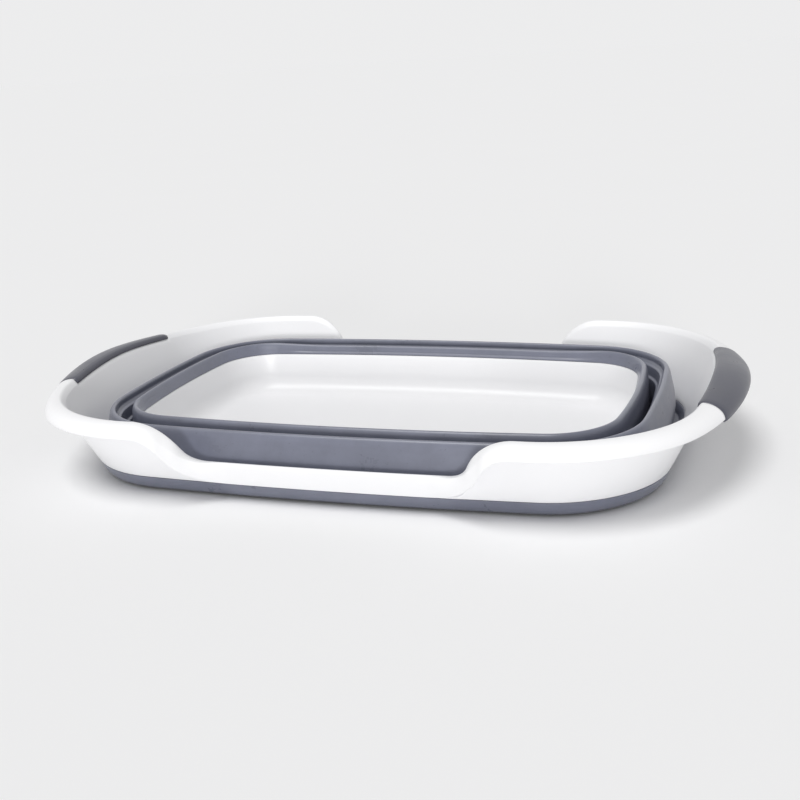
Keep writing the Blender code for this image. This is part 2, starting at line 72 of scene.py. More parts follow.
HEM = Outline(0.2460, 0.1583, 0.0913, 2.60, 1.60)
CROWN = Outline(0.2748, 0.1785, 0.1136, 12.5, 0.494)
LIP = Outline(0.2981, 0.1903, 0.1235, 14.0, 0.266)
OUTER_CREST = Outline(0.2285, 0.1458, 0.0756, 2.17, 1.07)
INNER_CREST = Outline(0.2107, 0.1267, 0.0541, 1.83, 0.676)

# The pads lift the moulding off the floor by this; the heights below count from there
STAND_HEIGHT = 0.0024

# Rim frame
BAND_HEIGHT = 0.0112
SEAM = 0.0003
FRAME_FOOT = BAND_HEIGHT + SEAM
RIM_HEIGHT = 0.0664
LIP_HEIGHT = 0.0548
DIP_HEIGHT = 0.0316
DIP_LIP_HEIGHT = FRAME_FOOT + 0.0012
DIP_CROWN_OUTSET = 0.0060
DIP_LIP_OUTSET = 0.0030
DIP_ROUND = 0.0022
DIP_BULGE = 0.0006
# Flat half length, lower arc and upper arc of the crown's dip and of the lip's
CROWN_DIP = (0.0964, 0.0187, 0.0388)
LIP_DIP = (0.0780, 0.0532, 0.0244)
CROWN_NARROWING = 0.339
LIP_NARROWING = 0.306
HANDLE_ARCH = 0.0068
HANDLE_ARCH_REACH = 0.1307
WALL_BOW_SHARE = 0.20
CROWN_INNER_DROP = 0.0048
CROWN_INNER_WIDTH = 0.0012
WALL_STEPS = 8
LIP_STEPS = 12

# Grips
GRIP_RECESS = 0.0014
GRIP_WALL = 0.0014
GRIP_HEM_DROP = 0.0014
GRIP_END_SHARE = 0.920
GRIP_STEP_SHARE = 0.0022

# Stations along a quarter of the hem
DIP_FLAT_STEPS = 12
DIP_RISE_STEPS = 54
CORNER_STEPS = 34
END_STEPS = 16
PATH_STEPS = (20, 30, 14)
REACH_ROUNDS = 12

# Folding wall sections, as distance outside the crest and height. Each fold wall wraps over its
# crest and laps the wall behind it by a hair.
OUTER_FOLD_SECTION = (
    (0.0033, 0.0037), (0.0051, 0.0037), (0.0066, 0.0080), (0.0077, 0.0130), (0.0080, 0.0180),
    (0.0078, 0.0230), (0.0074, 0.0270), (0.0068, 0.0310), (0.0060, 0.0350), (0.0049, 0.0400),
    (0.0041, 0.0440), (0.0034, 0.0470), (0.0024, 0.0496), (0.0012, 0.0510), (0.0000, 0.0514),
    (-0.0013, 0.0511), (-0.0021, 0.0498), (-0.0024, 0.0474), (-0.0024, 0.0467), (-0.0008, 0.0467),
    (0.0006, 0.0462), (0.0017, 0.0440), (0.0030, 0.0400), (0.0042, 0.0350), (0.0050, 0.0310),
    (0.0056, 0.0270), (0.0060, 0.0230), (0.0062, 0.0180), (0.0059, 0.0130), (0.0048, 0.0080),
)
INNER_FOLD_SECTION = (
    (0.0024, 0.0053), (0.0042, 0.0053), (0.0043, 0.0130), (0.0042, 0.0195), (0.0042, 0.0276),
    (0.0040, 0.0358), (0.0037, 0.0430), (0.0032, 0.0475), (0.0024, 0.0504), (0.0012, 0.0520),
    (0.0000, 0.0525), (-0.0013, 0.0521), (-0.0022, 0.0508), (-0.0030, 0.0485), (-0.0034, 0.0474),
    (-0.0008, 0.0474), (0.0007, 0.0468), (0.0018, 0.0430), (0.0022, 0.0358), (0.0024, 0.0276),
    (0.0024, 0.0195), (0.0025, 0.0130),
)
LEDGE_SECTION = (
    (-0.0005, 0.0493), (-0.0017, 0.0493), (-0.0022, 0.0480), (-0.00235, 0.0467), (-0.0026, 0.0457),
    (-0.0034, 0.0446), (-0.0040, 0.0437), (-0.0055, 0.0430), (-0.0060, 0.0420), (-0.0069, 0.0352),
    (-0.0075, 0.0342), (-0.0090, 0.0335), (-0.0095, 0.0325), (-0.0105, 0.0185), (-0.0113, 0.0053),
    (-0.0092, 0.0053), (-0.0084, 0.0185), (-0.0072, 0.0322), (-0.0052, 0.0347), (-0.0038, 0.0425),
    (-0.0014, 0.0442), (-0.0006, 0.0470),
)
COLLAR_SECTION = (
    (-0.0004, 0.0500), (-0.0018, 0.0500), (-0.0028, 0.0487), (-0.00335, 0.0474), (-0.0042, 0.0452),
    (-0.0052, 0.0424), (-0.0055, 0.0418), (-0.0030, 0.0418), (-0.0030, 0.0322), (-0.0008, 0.0322),
)
# Corners of the sections that stay crisp
OUTER_FOLD_CRISP = (0, 1, 18)
INNER_FOLD_CRISP = (0, 1, 14)
LEDGE_CRISP = (3, 14, 15)
COLLAR_CRISP = (3,)
CRISP_EDGE = 0.0002
# Most that a rounded corner takes of the line on each side, and the steps of its round
CUT_SHARE = 0.48
RIM_EDGE_STEPS = 2
BAND_EDGE_STEPS = 3
FOLD_EDGE_STEPS = 4

# Height at which the sag along the rear side reaches its full depth
INNER_FOLD_TOP = 0.0470
# Thickness of the folding wall
FOLD_WALL = 0.0018

# Base band, as distance outside the hem and height; its inner foot stands at the outer fold's foot
OUTER_FOOT_OUTSET = 0.0042
BAND_FLOOR = 0.0026
BAND_OUTER_FACE = (
    (0.0, BAND_HEIGHT), (-0.0004, 0.0100), (-0.0010, 0.0083), (-0.0023, 0.0052),
    (-0.0039, 0.0026), (-0.0053, 0.0009), (-0.0066, 0.0),
)
BAND_INNER_FACE = ((-0.0064, BAND_FLOOR), (-0.0057, 0.0056), (-0.0026, BAND_HEIGHT))
BAND_FOOT_EDGE = 0.0009
BAND_INNER_HEIGHT = 0.0036

# Lower gutter, between the ledge wall's foot and the inner fold's foot
LEDGE_FOOT_INSET = 0.01025
INNER_FOOT_OUTSET = 0.0033
GUTTER_TOP = 0.0050
GUTTER_UNDERSIDE = (0.0024, 0.0012)
GUTTER_INSIDE = (0.0034, 0.0030)
GUTTER_EDGE = 0.0004
GUTTER_CRISP = (0, 4, 5, 9)

# Hard white: its darkest shade, where the noise is least, and shallow waves in the gloss
WHITE_CLOUD = Noise(14.0, 3.0)
WHITE_SHADE = 0.985
WHITE_GLOSS = Gloss(0.26, 0.12)
WHITE_WAVES = Noise(26.0, 1.0)
WHITE_RELIEF = Relief(0.12, 0.0004)
WHITE_IOR = 1.49

# Soft grey: streaks that are long round the wall and fine in height, smudges, grain and specks
GREY_STREAKS = Noise(1.0, 4.0)
GREY_STREAK_SCALE = (14.0, 14.0, 150.0)
GREY_STREAK_SHARE = 0.2
GREY_SMUDGES = Noise(30.0, 5.0, 0.65)
GREY_GRAIN = Noise(1400.0, 2.0)
GREY_GRAIN_SHARE = 0.3
GREY_SPECKS = Noise(620.0, 1.0)
GREY_SPECK_LEVEL = 0.735
GREY_SPECK_SHARE = 0.35
# Noise levels that count as not worn and as fully worn
GREY_WORN_FROM = 0.30
GREY_WORN_TO = 0.70
# Shades of the grey where it isn't worn, where it is, and in the specks
GREY_SHADES = (0.88, 1.16, 0.45)
GREY_GLOSS = Gloss(0.24, 0.16)
GREY_RELIEF = Relief(0.25, 0.0003)
GREY_IOR = 1.48
# Gloss of the folding wall's skin; the grips have none
FOLD_COAT = 0.7
COAT_ROUGHNESS = 0.42

# Foot pads and studio floor
PAD_GRAIN = Noise(900.0, 3.0)
PAD_SHADES = (0.85, 1.1)
PAD_GLOSS = Gloss(0.55, 0.2)
FLOOR_CLOUD = Noise(3.0, 1.0)
FLOOR_SHADE = 0.995
FLOOR_ROUGHNESS = 0.75

# Sag of the inner crest along the rear side
SAG = 0.0026
SAG_FROM = 0.080
SAG_FADE = 0.035
SAG_HALF_LENGTH = 0.110
SAG_LENGTH_FADE = 0.075
SAG_FOOT = 0.0425

# Tray, as distance inside the inner crest
TRAY_RIM_INSET = 0.0055
TRAY_RIM_HEIGHT = 0.0415
TRAY_WALL = 0.0022
TRAY_DRAFT = 0.0030
TRAY_FILLET = 0.0170
TRAY_FLOOR = 0.0055
TRAY_WALL_STEPS = 8
TRAY_FILLET_STEPS = 16
TRAY_RING_SHARES = (0.25, 0.5, 0.75, 0.92)

# Share of an edge's size at which its bevel bends halfway
BEVEL_SHARE = 0.3

# Camera that saw the photograph, in metres and radians
CAMERA_YAW = -0.3434
CAMERA_PITCH = 0.2954
CAMERA_ROLL = -0.0635
CAMERA_DISTANCE = 1.0080
CAMERA_TARGET = (0.0061, 0.0, 0.0352 + STAND_HEIGHT)
CAMERA_LENS = 52.01
CAMERA_SENSOR = 36.0
CAMERA_NEAR = 0.01

# Stage: the floor's radius, and each lamp's width in degrees and heading
FLOOR_RADIUS = 30.0
FLOOR_SIDES = 96
TOP_LAMP = (30, (0.15, 0.34, -1.0))
FRONT_LAMP = (12, (-0.24, 1.0, -0.10))

# Vertices closer than this are one, in metres
MERGE_DISTANCE = 0.00001


def arc_centres(outline):
    """Centres of the side arc, the corner arc and the end arc of the first quarter."""
    side = Vector((0.0, outline.half_width - outline.side_bow))
    end = Vector((outline.half_length - outline.end_bow, 0.0))
    to_corner = outline.side_bow - outline.corner
    from_end = outline.end_bow - outline.corner
    apart = (end - side).length
    along = (to_corner ** 2 - from_end ** 2 + apart ** 2) / (2 * apart)
    height = math.sqrt(max(to_corner ** 2 - along ** 2, 0.0))
    line = (end - side).normalized()
    corner = side + line * along + Vector((line.y, -line.x)) * height
    return side, corner, end


def corner_turns(outline):
    """Directions in which the corner arc meets the side arc and the end arc."""
    side, corner, end = arc_centres(outline)
    return (math.atan2(corner.y - side.y, corner.x - side.x),
            math.atan2(corner.y - end.y, corner.x - end.x))


def signed_distance(outline, point):
    """How far a point lies outside the outline, negative inside."""
    here = Vector((abs(point.x), abs(point.y)))
    side, corner, end = arc_centres(outline)
    side_turn, end_turn = corner_turns(outline)
    turn = math.atan2(here.y - corner.y, here.x - corner.x)
    if turn > side_turn:
        return (here - side).length - outline.side_bow
    if turn < end_turn:
        return (here - end).length - outline.end_bow
    return (here - corner).length - outline.corner


def reach(outline, station):
    """Distance from the station to another outline, along the station's normal."""
    along = 0.0
    for _ in range(REACH_ROUNDS):
        along -= signed_distance(outline, station.point + station.normal * along)
    return along


def arc_station(centre, radius, turn, recessed=False):
    normal = Vector((math.cos(turn), math.sin(turn)))
    return Station(centre + normal * radius, normal, recessed)


def side_length(outline):
    """Length of an outline's side from its middle to where the corner begins."""
    return outline.side_bow * math.cos(corner_turns(outline)[0])


def quarter(outline, side_places, corner_marks, end_shares):
    """Stations of an outline's first quarter, from the side's middle to the end's middle."""
    side, corner, end = arc_centres(outline)
    side_turn, end_turn = corner_turns(outline)
    found = [arc_station(side, outline.side_bow, math.acos(place / outline.side_bow))
             for place in side_places]
    for share, recessed in corner_marks:
        turn = side_turn + (end_turn - side_turn) * share
        found.append(arc_station(corner, outline.corner, turn, recessed))
    for share in (*end_shares, 0.0):
        found.append(arc_station(end, outline.end_bow, end_turn * share, True))
    return found


def whole_round(first):
    """Mirror a quarter's stations into a closed round, without repeating the middles."""
    def flipped(station, x, y):
        return Station(Vector((station.point.x * x, station.point.y * y)),
                       Vector((station.normal.x * x, station.normal.y * y)), station.recessed)

    half = first + [flipped(station, 1, -1) for station in reversed(first[:-1])]
    return half + [flipped(station, -1, 1) for station in reversed(half[1:-1])]


def path_stations(outline):
    """Even stations for a path along an outline."""
    side_steps, corner_steps, end_steps = PATH_STEPS
    length = side_length(outline)
    places = [length * step / side_steps for step in range(side_steps)]
    marks = [(step / corner_steps, False) for step in range(corner_steps + 1)]
    ends = [1 - step / end_steps for step in range(1, end_steps)]
    return whole_round(quarter(outline, places, marks, ends))


def rim_stations():
    """Stations on the hem, close together where the dips rise, with a step at each grip."""
    length = side_length(HEM)
    flat = LIP_DIP[0]
    places = [flat * step / DIP_FLAT_STEPS for step in range(DIP_FLAT_STEPS)]
    places += [mix(flat, length, step / DIP_RISE_STEPS) for step in range(DIP_RISE_STEPS)]
    shares = [step / CORNER_STEPS for step in range(CORNER_STEPS + 1)] + [GRIP_END_SHARE]
    marks = [(share, share > GRIP_END_SHARE) for share in shares]
    marks.append((GRIP_END_SHARE + GRIP_STEP_SHARE, True))
    ends = [1 - step / END_STEPS for step in range(1, END_STEPS)]
    return whole_round(quarter(HEM, places, sorted(marks), ends))


def mix(low, high, share):
    return low + (high - low) * share


def smooth(share):
    share = min(max(share, 0.0), 1.0)
    return share * share * (3 - 2 * share)


def risen(run, start, lower, upper, rise):
    """How far an edge has risen at a run along the side: up one arc, then over another."""
    turn = math.acos(1 - rise / (lower + upper))
    middle = start + lower * math.sin(turn)
    end = middle + upper * math.sin(turn)
    if run < start:
        return 0.0
    if run < middle:
        return lower - math.sqrt(lower ** 2 - (run - start) ** 2)
    if run < end:
        return rise - upper + math.sqrt(upper ** 2 - (end - run) ** 2)
    return rise


def flared(share, narrowing):
    """A share that leaves 0 sooner, as the rim flares out before it rises."""
    return share / mix(narrowing, 1.0, share)


def handle_rise(station, outset):
    """How far the rim arches up here, over the handle at each end."""
    place = station.point + station.normal * outset
    if abs(place.x) < side_length(HEM):
        return 0.0
    return HANDLE_ARCH * smooth(1 - abs(place.y) / HANDLE_ARCH_REACH)


def softened(points, cuts, steps):
    """Round a section's corners as far as their lines let them, or by a corner's own cut."""
    count = len(points)
    made = []
    for i, corner in enumerate(points):
        here = Vector(corner)
        before = Vector(points[i - 1]) - here
        after = Vector(points[(i + 1) % count]) - here
        cut = cuts.get(i, math.inf)
        first = here + before.normalized() * min(cut, before.length * CUT_SHARE)
        last = here + after.normalized() * min(cut, after.length * CUT_SHARE)
        for step in range(steps + 1):
            share = step / steps
            made.append(tuple(first.lerp(here, share).lerp(here.lerp(last, share), share)))
    return made


class RimShape:
    """The frame's heights and distances from the hem at one station."""

    def __init__(self, station, sizes):
        self.wall = sizes.frame_wall
        self.crown = reach(CROWN, station)
        self.lip = reach(LIP, station)
        self.full = RIM_HEIGHT + handle_rise(station, self.crown)
        self.lip_height = LIP_HEIGHT + handle_rise(station, self.lip)
        run = abs(station.point.x)
        rise = RIM_HEIGHT - DIP_HEIGHT
        lip_rise = LIP_HEIGHT - DIP_LIP_HEIGHT
        self.share = risen(run, *CROWN_DIP, rise) / rise
        self.lip_share = risen(run, *LIP_DIP, lip_rise) / lip_rise
        self.flare = flared(self.share, CROWN_NARROWING)
        self.lip_flare = flared(self.lip_share, LIP_NARROWING)

    def lean(self, height):
        """Distance of the wall's outer face from the hem at a height."""
        share = (height - FRAME_FOOT) / (self.full - FRAME_FOOT)
        return self.crown * (share + WALL_BOW_SHARE * share * (1 - share))

    def roll(self, wide, drop, skin=0.0):
        """The lip's roll from its crown to its edge, a quarter of an ellipse."""
        points = []
        for step in range(LIP_STEPS + 1):
            turn = math.pi / 2 * (1 - step / LIP_STEPS)
            points.append((self.crown + (wide + skin) * math.cos(turn),
                           self.lip_height + (drop + skin) * math.sin(turn)))
        return points

    def full_section(self, recess):
        """Outline where the lip is whole, from the outer foot round."""
        top = self.full - recess
        wide = self.lip - recess - self.crown
        drop = top - self.lip_height
        channel_top = top - 2 * self.wall
        heights = [mix(FRAME_FOOT, channel_top, i / WALL_STEPS) for i in range(WALL_STEPS + 1)]
        points = [(self.lean(height), height) for height in heights]
        points += self.roll(wide, drop, -self.wall)
        points += self.roll(wide, drop)[::-1]
        inner_top = self.full - CROWN_INNER_DROP / 4
        inner_foot = self.full - CROWN_INNER_DROP
        points.append((self.lean(inner_top) - CROWN_INNER_WIDTH + recess / 2, inner_top - recess))
        points.append((self.lean(inner_foot) - self.wall + recess, inner_foot))
        points.append((self.lean(inner_foot - SEAM) - self.wall, inner_foot - SEAM))
        for height in heights[-2::-1]:
            points.append((self.lean(height) - self.wall, height))
        return points

    def dip_face(self):
        """The strip's outer face where the rim is low, from the lip's edge to the crown."""
        shoulder = DIP_HEIGHT - DIP_ROUND
        points = []
        for step in range(LIP_STEPS + 1):
            share = 2 * step / LIP_STEPS
            turn = math.pi / 2 * (share - 1)
            if share < 1:
                bulge = DIP_BULGE * math.sin(math.pi * share)
                points.append((mix(DIP_LIP_OUTSET, DIP_CROWN_OUTSET + DIP_ROUND, share) + bulge,
                               mix(DIP_LIP_HEIGHT, shoulder, share)))
            else:
                points.append((DIP_CROWN_OUTSET + DIP_ROUND * math.cos(turn),
                               shoulder + DIP_ROUND * math.sin(turn)))
        return points

    def dip_section(self):
        """The full section's points, where the rim is low."""
        low = DIP_LIP_HEIGHT
        shoulder = DIP_HEIGHT - self.wall / 2
        points = []
        for i in range(WALL_STEPS + 1):
            height = mix(FRAME_FOOT, low, i / WALL_STEPS)
            points.append((self.lean(height), height))
        for i in range(LIP_STEPS + 1):
            share = (i + 1) / (LIP_STEPS + 2)
            points.append((mix(self.lean(low), DIP_LIP_OUTSET, share), low))
        points += self.dip_face()
        points.append((DIP_CROWN_OUTSET - self.wall / 2, DIP_HEIGHT - self.wall / 8))
        points.append((DIP_CROWN_OUTSET - self.wall, shoulder))
        for level in self.inner_levels()[2:]:
            points.append((DIP_CROWN_OUTSET * level - self.wall, mix(FRAME_FOOT, shoulder, level)))
        return points

    def inner_levels(self):
        """Shares of the height at which the inner face's points lie."""
        count = WALL_STEPS + 1
        return [1.0, 1.0] + [1 - (i + 1) / count for i in range(count)]

    def moves(self):
        """How far each point has left the dip, outwards and upwards."""
        wall = [(self.share, self.share)] * (WALL_STEPS + 1)
        roll = []
        for step in range(LIP_STEPS + 1):
            edge = math.cos(math.pi / 2 * (1 - step / LIP_STEPS))
            roll.append((mix(self.flare, self.lip_flare, edge),
                         mix(self.share, self.lip_share, edge)))
        inner = [(mix(self.share, self.flare, level), self.share) for level in self.inner_levels()]
        return wall + roll + roll[::-1] + inner

    def section(self, recess, edge):
        points = [(mix(low[0], full[0], out), mix(low[1], full[1], up))
                  for low, full, (out, up) in zip(self.dip_section(), self.full_section(recess),
                                                  self.moves())]
        lip_edge = WALL_STEPS + LIP_STEPS + 1
        cuts = {0: edge, len(points) - 1: edge, lip_edge: 2 * edge, lip_edge + 1: 2 * edge}
        return softened(points, cuts, RIM_EDGE_STEPS)

    def grip_skin(self, skin, thickness):
        """One face of the grip, from the inner wall over the crown to the lip's edge."""
        inner_foot = self.full - CROWN_INNER_DROP + SEAM
        inner = self.lean(inner_foot) - self.wall + GRIP_RECESS - SEAM - thickness
        shoulder = self.full + skin - CROWN_INNER_DROP / 4
        path = [(inner, inner_foot), (inner + CROWN_INNER_WIDTH / 2, shoulder)]
        return path + self.roll(self.lip - self.crown, self.full - self.lip_height, skin)

    def grip_section(self, shrink, edge):
        """A soft shell round the recessed lip, from the inner wall to under the lip's edge."""
        gap = GRIP_RECESS - SEAM
        under = self.lip_height - SEAM
        hem = under - GRIP_HEM_DROP
        tuck = self.lip - GRIP_RECESS - self.wall
        outer = self.grip_skin(GRIP_WALL - gap - shrink, GRIP_WALL - shrink)
        inside = self.grip_skin(-gap, 0.0)
        inside[-1] = (inside[-1][0], under)
        points = outer + [(outer[-1][0], hem), (tuck, hem), (tuck, under)] + inside[::-1]
        count = len(outer)
        corners = (0, count, count + 1, count + 2, count + 3, len(points) - 1)
        return softened(points, dict.fromkeys(corners, edge), RIM_EDGE_STEPS)


class Wire:
    """A number on its way through a tree; its operators add Math nodes."""

    def __init__(self, wiring, socket):
        self.wiring = wiring
        self.socket = socket

    def worked(self, operation, first, second):
        return self.wiring.add("ShaderNodeMath", {"operation": operation}, {0: first, 1: second})

    def __add__(self, other):
        return self.worked("ADD", self, other)

    __radd__ = __add__

    def __sub__(self, other):
        return self.worked("SUBTRACT", self, other)

    def __rsub__(self, other):
        return self.worked("SUBTRACT", other, self)

    def __mul__(self, other):
        return self.worked("MULTIPLY", self, other)

    __rmul__ = __mul__


class Wiring:
    """Adds nodes to one tree and links them."""

    def __init__(self, tree):
        self.tree = tree

    def add(self, kind, settings=None, sockets=None, out=0):
        """A node of a kind with its settings and socket values; gives the wanted output."""
        node = self.tree.nodes.new(kind)
        for name, value in (settings or {}).items():
            setattr(node, name, value)
        for name, value in (sockets or {}).items():
            if isinstance(value, Wire):
                self.tree.links.new(value.socket, node.inputs[name])
            else:
                node.inputs[name].default_value = value
        return Wire(self, node.outputs[out]) if node.outputs else node


def new_material(name):
    """A node material with its wiring, its shader and the places on the object."""
    material = bpy.data.materials.new(name)
    material.use_nodes = True
    material.node_tree.nodes.clear()
    wiring = Wiring(material.node_tree)
    shader = material.node_tree.nodes.new("ShaderNodeBsdfPrincipled")
    output = material.node_tree.nodes.new("ShaderNodeOutputMaterial")
    material.node_tree.links.new(shader.outputs[0], output.inputs["Surface"])
    place = wiring.add("ShaderNodeTexCoord", {}, {}, "Object")
    return material, wiring, shader, place


def connect(wiring, shader, name, wire):
    wiring.tree.links.new(wire.socket, shader.inputs[name])


def noise(wiring, place, pattern):
    return wiring.add("ShaderNodeTexNoise", {}, {
        "Vector": place, "Scale": pattern.scale, "Detail": pattern.detail,
        "Roughness": pattern.roughness})


def bend(wiring, shader, height, relief):
    """Let a height that changes over the surface bend the shader's normal."""
    bump = wiring.add("ShaderNodeBump", {}, {
        "Height": height, "Strength": relief.strength, "Distance": relief.depth})
    connect(wiring, shader, "Normal", bump)


def shaded(colour, share):
    return [channel * share for channel in colour]


def blend_colours(wiring, factor, first, second):
    """Mix two colours by a number."""
    node = wiring.tree.nodes.new("ShaderNodeMix")
    node.data_type = "RGBA"
    wiring.tree.links.new(factor.socket, node.inputs["Factor"])
    colours = [socket for socket in node.inputs if socket.type == "RGBA"]
    for socket, value in zip(colours, (first, second)):
        if isinstance(value, Wire):
            wiring.tree.links.new(value.socket, socket)
        else:
            socket.default_value = (*value, 1.0)
    made = [socket for socket in node.outputs if socket.type == "RGBA"][0]
    return Wire(wiring, made)


def glossy_white(finish):
    """Moulded polypropylene: glossy white with barely uneven gloss."""
    if "glossy_white" in bpy.data.materials:
        return bpy.data.materials["glossy_white"]
    material, wiring, shader, place = new_material("glossy_white")
    cloud = noise(wiring, place, WHITE_CLOUD)
    colour = blend_colours(wiring, cloud, shaded(finish.white, WHITE_SHADE), finish.white)
    connect(wiring, shader, "Base Color", colour)
    connect(wiring, shader, "Roughness", WHITE_GLOSS.least + cloud * WHITE_GLOSS.added)
    bend(wiring, shader, noise(wiring, place, WHITE_WAVES), WHITE_RELIEF)
    shader.inputs["IOR"].default_value = WHITE_IOR
    return material


def satin_grey(name, grey, coat):
    """Soft elastomer: satin blue-grey with smudges, streaks along the wall and fine specks."""
    if name in bpy.data.materials:
        return bpy.data.materials[name]
    material, wiring, shader, place = new_material(name)
    along = wiring.add("ShaderNodeMapping", {}, {"Vector": place, "Scale": GREY_STREAK_SCALE})
    streaks = noise(wiring, along, GREY_STREAKS)
    smudges = noise(wiring, place, GREY_SMUDGES)
    grain = noise(wiring, place, GREY_GRAIN)
    specks = wiring.add("ShaderNodeMath", {"operation": "GREATER_THAN"},
                        {0: noise(wiring, place, GREY_SPECKS), 1: GREY_SPECK_LEVEL})
    uneven = streaks * GREY_STREAK_SHARE + smudges * (1 - GREY_STREAK_SHARE)
    worn = wiring.add("ShaderNodeMapRange", {}, {
        "Value": uneven, "From Min": GREY_WORN_FROM, "From Max": GREY_WORN_TO})
    dark, light, speck = [shaded(grey, share) for share in GREY_SHADES]
    colour = blend_colours(wiring, worn, dark, light)
    colour = blend_colours(wiring, specks * GREY_SPECK_SHARE, colour, speck)
    connect(wiring, shader, "Base Color", colour)
    connect(wiring, shader, "Roughness", GREY_GLOSS.least + worn * GREY_GLOSS.added)
    height = grain * GREY_GRAIN_SHARE + smudges * (1 - GREY_GRAIN_SHARE)
    bend(wiring, shader, height, GREY_RELIEF)
    shader.inputs["IOR"].default_value = GREY_IOR
    shader.inputs["Coat Weight"].default_value = coat
    shader.inputs["Coat Roughness"].default_value = COAT_ROUGHNESS
    return material


def pad_grey(finish):
    """The foot pads' matt elastomer."""
    material, wiring, shader, place = new_material("matt_pad_grey")
    grain = noise(wiring, place, PAD_GRAIN)
    dark, light = [shaded(finish.pad, share) for share in PAD_SHADES]
    colour = blend_colours(wiring, grain, dark, light)
    connect(wiring, shader, "Base Color", colour)
    connect(wiring, shader, "Roughness", PAD_GLOSS.least + grain * PAD_GLOSS.added)
    return material


def floor_white(look):
    material, wiring, shader, place = new_material("studio_floor")
    cloud = noise(wiring, place, FLOOR_CLOUD)
    colour = blend_colours(wiring, cloud, shaded(look.floor, FLOOR_SHADE), look.floor)
    connect(wiring, shader, "Base Color", colour)
    shader.inputs["Roughness"].default_value = FLOOR_ROUGHNESS
    shader.inputs["Specular IOR Level"].default_value = 0.0
    return material


def face_outwards(shape):
    """Turn a closed shape's faces out."""
    bmesh.ops.recalc_face_normals(shape, faces=shape.faces)
    if shape.calc_volume(signed=True) < 0:
        bmesh.ops.reverse_faces(shape, faces=shape.faces)


def shown(name, mesh, material):
    """Link a smooth-shaded object that carries the mesh."""
    mesh.materials.clear()
    mesh.materials.append(material)
    mesh.shade_smooth()
    thing = bpy.data.objects.new(name, mesh)
    bpy.context.scene.collection.objects.link(thing)
    return thing


def closed_mesh(name, build):
    """A closed mesh whose faces the build function puts into a bmesh."""
    shape = bmesh.new()
    build(shape)
    face_outwards(shape)
    mesh = bpy.data.meshes.new(name)
    shape.to_mesh(mesh)
    shape.free()
    return mesh


def mesh_piece(name, build, material):
    return shown(name, closed_mesh(name, build), material)


def at(station, distance, height):
    """The place at a distance outside a station and a height of the moulding."""
    place = station.point + station.normal * distance
    return (place.x, place.y, height + STAND_HEIGHT)


def join(shape, row, following, spans):
    """Join two rows of vertices with quads."""
    count = len(row)
    for i in range(spans):
        j = (i + 1) % count
        shape.faces.new((row[i], row[j], following[j], following[i]))


def loft(shape, rows, closed_section=True, closed_round=True):
    """Join rows of places with quads; returns the rows of vertices."""
    made = [[shape.verts.new(place) for place in row] for row in rows]
    count = len(made[0])
    spans = count if closed_section else count - 1
    pairs = list(zip(made, made[1:] + made[:1]))
    if not closed_round:
        pairs = pairs[:-1]
    for row, following in pairs:
        join(shape, row, following, spans)
    return made


def new_tree(name, inputs):
    """A Geometry Nodes tree with named inputs; gives its wiring and the inputs' wires."""
    tree = bpy.data.node_groups.new(name, "GeometryNodeTree")
    for label, kind in inputs:
        tree.interface.new_socket(label, in_out="INPUT", socket_type=kind)
    tree.interface.new_socket("Geometry", in_out="OUTPUT", socket_type="NodeSocketGeometry")
    wiring = Wiring(tree)
    given = tree.nodes.new("NodeGroupInput")
    return wiring, [Wire(wiring, socket) for socket in given.outputs[:len(inputs)]]


def end_tree(wiring, geometry, finish):
    """End a tree in real geometry that carries its finish."""
    real = wiring.add("GeometryNodeRealizeInstances", {}, {"Geometry": geometry})
    done = wiring.add("GeometryNodeSetMaterial", {}, {"Geometry": real, "Material": finish})
    result = wiring.tree.nodes.new("NodeGroupOutput")
    wiring.tree.links.new(done.socket, result.inputs[0])
    return wiring.tree


def sweep_tree():
    """Geometry Nodes that sweep a section along a closed path and give it its finish."""
    if "path_sweep" in bpy.data.node_groups:
        return bpy.data.node_groups["path_sweep"]
    wiring, (path, section, scale, finish) = new_tree("path_sweep", (
        ("Path", "NodeSocketGeometry"), ("Section", "NodeSocketObject"),
        ("Section Scale", "NodeSocketFloat"), ("Finish", "NodeSocketMaterial")))
    line = wiring.add("GeometryNodeMeshToCurve", {}, {"Mesh": path})
    upright = wiring.add("GeometryNodeSetCurveNormal", {"mode": "Z_UP"}, {"Curve": line})
    drawn = wiring.add("GeometryNodeObjectInfo", {}, {"Object": section}, "Geometry")
    outline = wiring.add("GeometryNodeMeshToCurve", {}, {"Mesh": drawn})
    swept = wiring.add("GeometryNodeCurveToMesh", {}, {"Curve": upright, "Profile Curve": outline,
                                                       "Scale": scale})
    even = wiring.add("GeometryNodeSetShadeSmooth", {}, {"Geometry": swept})
    return end_tree(wiring, even, finish)


def pad_tree():
    """Geometry Nodes that stand one pad at each corner of a rectangle."""
    wiring, (pad, pitch_x, pitch_y, finish) = new_tree("pad_corners", (
        ("Pad", "NodeSocketGeometry"), ("Pitch X", "NodeSocketFloat"),
        ("Pitch Y", "NodeSocketFloat"), ("Finish", "NodeSocketMaterial")))
    corners = wiring.add("GeometryNodeMeshGrid", {}, {"Size X": pitch_x, "Size Y": pitch_y,
                                                      "Vertices X": 2, "Vertices Y": 2})
    placed = wiring.add("GeometryNodeInstanceOnPoints", {}, {"Points": corners, "Instance": pad})
    return end_tree(wiring, placed, finish)


